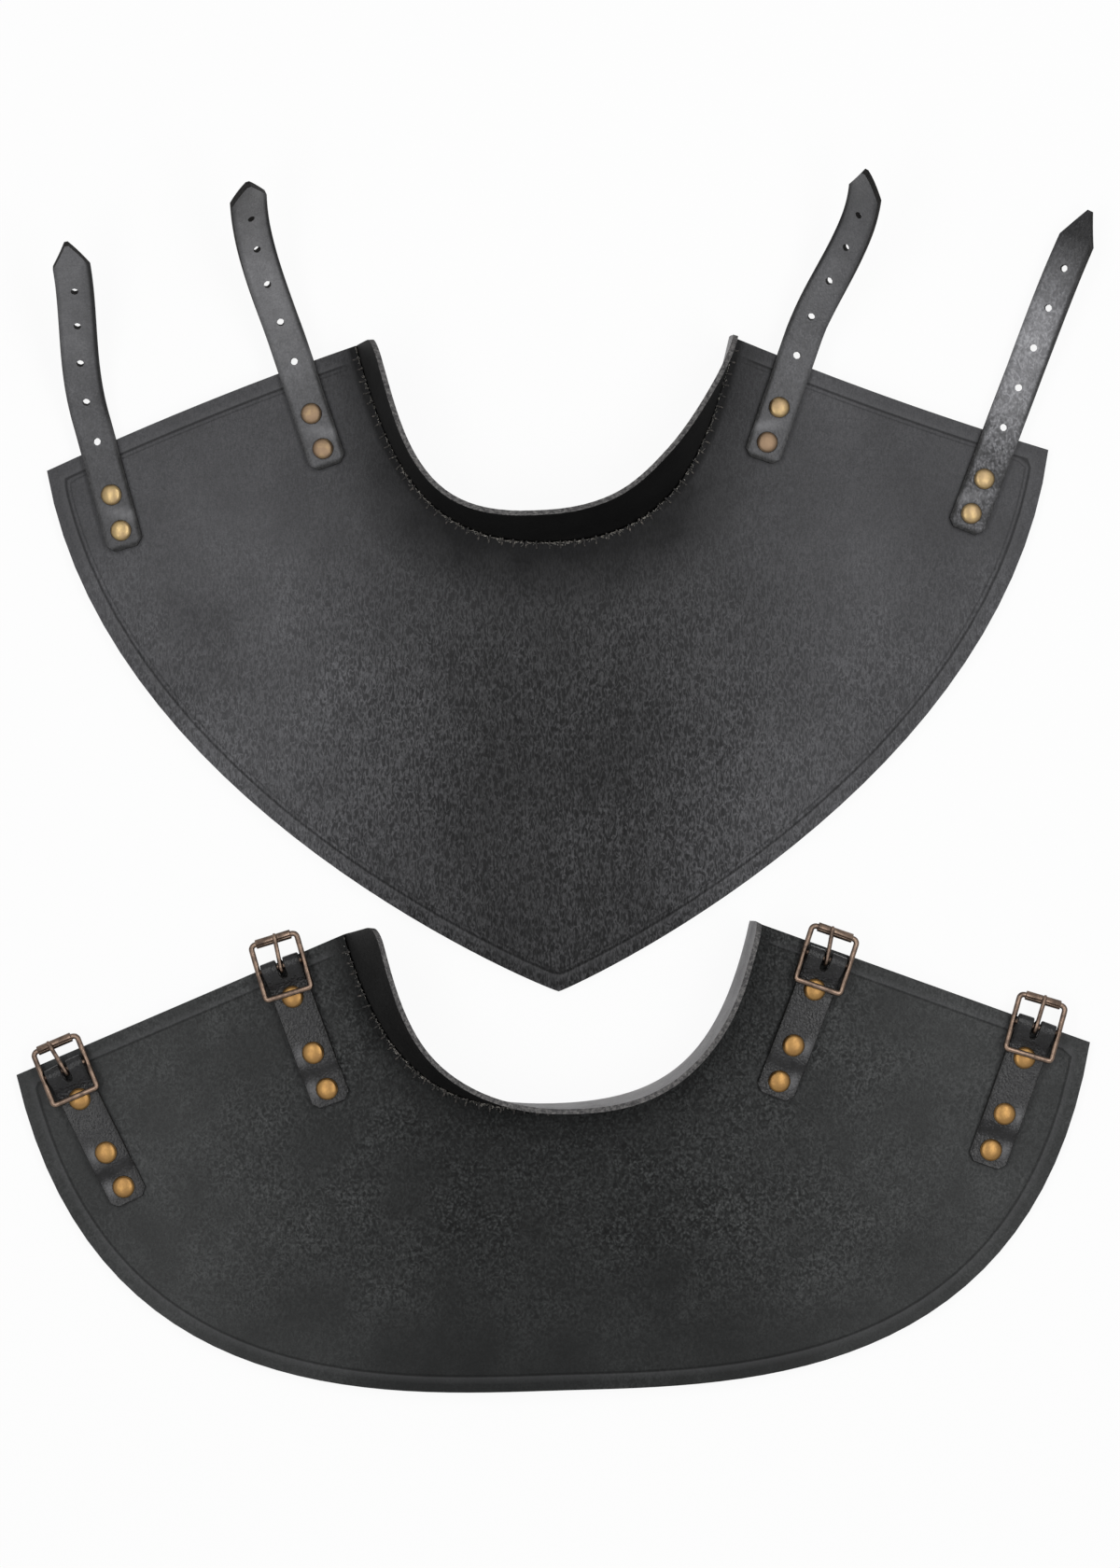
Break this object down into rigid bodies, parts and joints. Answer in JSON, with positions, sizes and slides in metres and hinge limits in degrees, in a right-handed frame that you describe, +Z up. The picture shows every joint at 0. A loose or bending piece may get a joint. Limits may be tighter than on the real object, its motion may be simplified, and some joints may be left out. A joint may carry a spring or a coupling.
{
  "type": "leather gorget",
  "caption": "Leather gorget laid open: a pointed front plate with punched straps and a rounded back plate with roller buckles, each with a stitched standing collar.",
  "frame": {"origin": "on the table, under the middle of the overall box of the laid-out gorget", "axes": "+X across the shoulders to the right of the layout, +Y from the back half up to the front half, +Z up from the table"},
  "size_m": [0.4608, 0.521, 0.0678],
  "materials": {
    "front_leather": "creased black, satin",
    "back_leather": "pebbled black, satin",
    "strap_leather": "smooth black with glossy wear",
    "thread": "waxed dark thread",
    "old_brass": "aged, worn bright on the domes",
    "dark_brass": "dark antique"
  },
  "bodies": {
    "front_half": {"front_plate": "front_leather", "front_collar": "front_leather", "front_stitching": "thread", "strap_1_root": "strap_leather", "strap_1_rivets": "old_brass", "strap_1_rivet_backs": "old_brass", "strap_2_root": "strap_leather", "strap_2_rivets": "old_brass", "strap_2_rivet_backs": "old_brass", "strap_3_root": "strap_leather", "strap_3_rivets": "old_brass", "strap_3_rivet_backs": "old_brass", "strap_4_root": "strap_leather", "strap_4_rivets": "old_brass", "strap_4_rivet_backs": "old_brass"},
    "back_half": {"back_plate": "back_leather", "back_collar": "back_leather", "back_stitching": "thread", "chape_1": "strap_leather", "chape_1_rivets": "old_brass", "chape_1_rivet_backs": "old_brass", "chape_2": "strap_leather", "chape_2_rivets": "old_brass", "chape_2_rivet_backs": "old_brass", "chape_3": "strap_leather", "chape_3_rivets": "old_brass", "chape_3_rivet_backs": "old_brass", "chape_4": "strap_leather", "chape_4_rivets": "old_brass", "chape_4_rivet_backs": "old_brass"},
    "strap_1_free_end": {"strap_1_tail": "strap_leather"},
    "strap_2_free_end": {"strap_2_tail": "strap_leather"},
    "strap_3_free_end": {"strap_3_tail": "strap_leather"},
    "strap_4_free_end": {"strap_4_tail": "strap_leather"},
    "buckle_1_wire": {"buckle_1_frame": "dark_brass", "buckle_1_bar": "dark_brass"},
    "buckle_1_sleeve": {"buckle_1_roller": "dark_brass"},
    "buckle_1_tongue": {"buckle_1_prong": "dark_brass"},
    "buckle_2_wire": {"buckle_2_frame": "dark_brass", "buckle_2_bar": "dark_brass"},
    "buckle_2_sleeve": {"buckle_2_roller": "dark_brass"},
    "buckle_2_tongue": {"buckle_2_prong": "dark_brass"},
    "buckle_3_wire": {"buckle_3_frame": "dark_brass", "buckle_3_bar": "dark_brass"},
    "buckle_3_sleeve": {"buckle_3_roller": "dark_brass"},
    "buckle_3_tongue": {"buckle_3_prong": "dark_brass"},
    "buckle_4_wire": {"buckle_4_frame": "dark_brass", "buckle_4_bar": "dark_brass"},
    "buckle_4_sleeve": {"buckle_4_roller": "dark_brass"},
    "buckle_4_tongue": {"buckle_4_prong": "dark_brass"}
  },
  "joints": [
    {"name": "back_half_lift", "type": "slide", "parent": "front_half", "child": "back_half", "axis": [0, 0, 1], "range_m": [0, 0.1]},
    {"name": "strap_1_bend", "type": "hinge", "parent": "front_half", "child": "strap_1_free_end", "pos_m": [-0.19813, 0.15531, 0.00663], "axis": [0.962, 0.2622, 0.076], "range_deg": [-75, 75], "stiffness_Nm_per_rad": 0.12},
    {"name": "strap_2_bend", "type": "hinge", "parent": "front_half", "child": "strap_2_free_end", "pos_m": [-0.1142, 0.18928, 0.01211], "axis": [0.946, 0.3181, 0.0633], "range_deg": [-75, 75], "stiffness_Nm_per_rad": 0.12},
    {"name": "strap_3_bend", "type": "hinge", "parent": "front_half", "child": "strap_3_free_end", "pos_m": [0.10643, 0.19187, 0.01215], "axis": [0.9432, -0.3264, -0.0614], "range_deg": [-75, 75], "stiffness_Nm_per_rad": 0.12},
    {"name": "strap_4_bend", "type": "hinge", "parent": "front_half", "child": "strap_4_free_end", "pos_m": [0.19528, 0.16114, 0.00633], "axis": [0.932, -0.3552, -0.0726], "range_deg": [-75, 75], "stiffness_Nm_per_rad": 0.12},
    {"name": "buckle_1_swing", "type": "hinge", "parent": "back_half", "child": "buckle_1_wire", "pos_m": [-0.20945, -0.12215, 0.01048], "axis": [-0.9159, -0.3936, -0.0785], "range_deg": [0, 18]},
    {"name": "buckle_1_roller_spin", "type": "hinge", "parent": "buckle_1_wire", "child": "buckle_1_sleeve", "pos_m": [-0.21398, -0.11116, 0.00822], "axis": [0.9159, 0.3936, 0.0785], "continuous": true},
    {"name": "buckle_1_prong_lift", "type": "hinge", "parent": "buckle_1_wire", "child": "buckle_1_tongue", "pos_m": [-0.20945, -0.12215, 0.01048], "axis": [0.8461, 0.5308, 0.0482], "range_deg": [0, 130]},
    {"name": "buckle_2_swing", "type": "hinge", "parent": "back_half", "child": "buckle_2_wire", "pos_m": [-0.11687, -0.07769, 0.01841], "axis": [-0.9521, -0.2955, -0.0784], "range_deg": [0, 36]},
    {"name": "buckle_2_roller_spin", "type": "hinge", "parent": "buckle_2_wire", "child": "buckle_2_sleeve", "pos_m": [-0.12023, -0.06628, 0.0162], "axis": [0.9521, 0.2955, 0.0784], "continuous": true},
    {"name": "buckle_2_prong_lift", "type": "hinge", "parent": "buckle_2_wire", "child": "buckle_2_tongue", "pos_m": [-0.11687, -0.07769, 0.01841], "axis": [0.9727, 0.2122, 0.094], "range_deg": [0, 130]},
    {"name": "buckle_3_swing", "type": "hinge", "parent": "back_half", "child": "buckle_3_wire", "pos_m": [0.11608, -0.07468, 0.01815], "axis": [-0.9417, 0.3271, 0.0784], "range_deg": [0, 25]},
    {"name": "buckle_3_roller_spin", "type": "hinge", "parent": "buckle_3_wire", "child": "buckle_3_sleeve", "pos_m": [0.11981, -0.0634, 0.01587], "axis": [0.9417, -0.3271, -0.0784], "continuous": true},
    {"name": "buckle_3_prong_lift", "type": "hinge", "parent": "buckle_3_wire", "child": "buckle_3_tongue", "pos_m": [0.11608, -0.07468, 0.01815], "axis": [0.9755, -0.1942, -0.1038], "range_deg": [0, 130]},
    {"name": "buckle_4_swing", "type": "hinge", "parent": "back_half", "child": "buckle_4_wire", "pos_m": [0.20572, -0.10386, 0.01074], "axis": [-0.9551, 0.2856, 0.0784], "range_deg": [0, 38]},
    {"name": "buckle_4_roller_spin", "type": "hinge", "parent": "buckle_4_wire", "child": "buckle_4_sleeve", "pos_m": [0.20895, -0.09242, 0.00851], "axis": [0.9551, -0.2856, -0.0784], "continuous": true},
    {"name": "buckle_4_prong_lift", "type": "hinge", "parent": "buckle_4_wire", "child": "buckle_4_tongue", "pos_m": [0.20572, -0.10386, 0.01074], "axis": [0.9503, -0.302, -0.0752], "range_deg": [0, 130]}
  ]
}
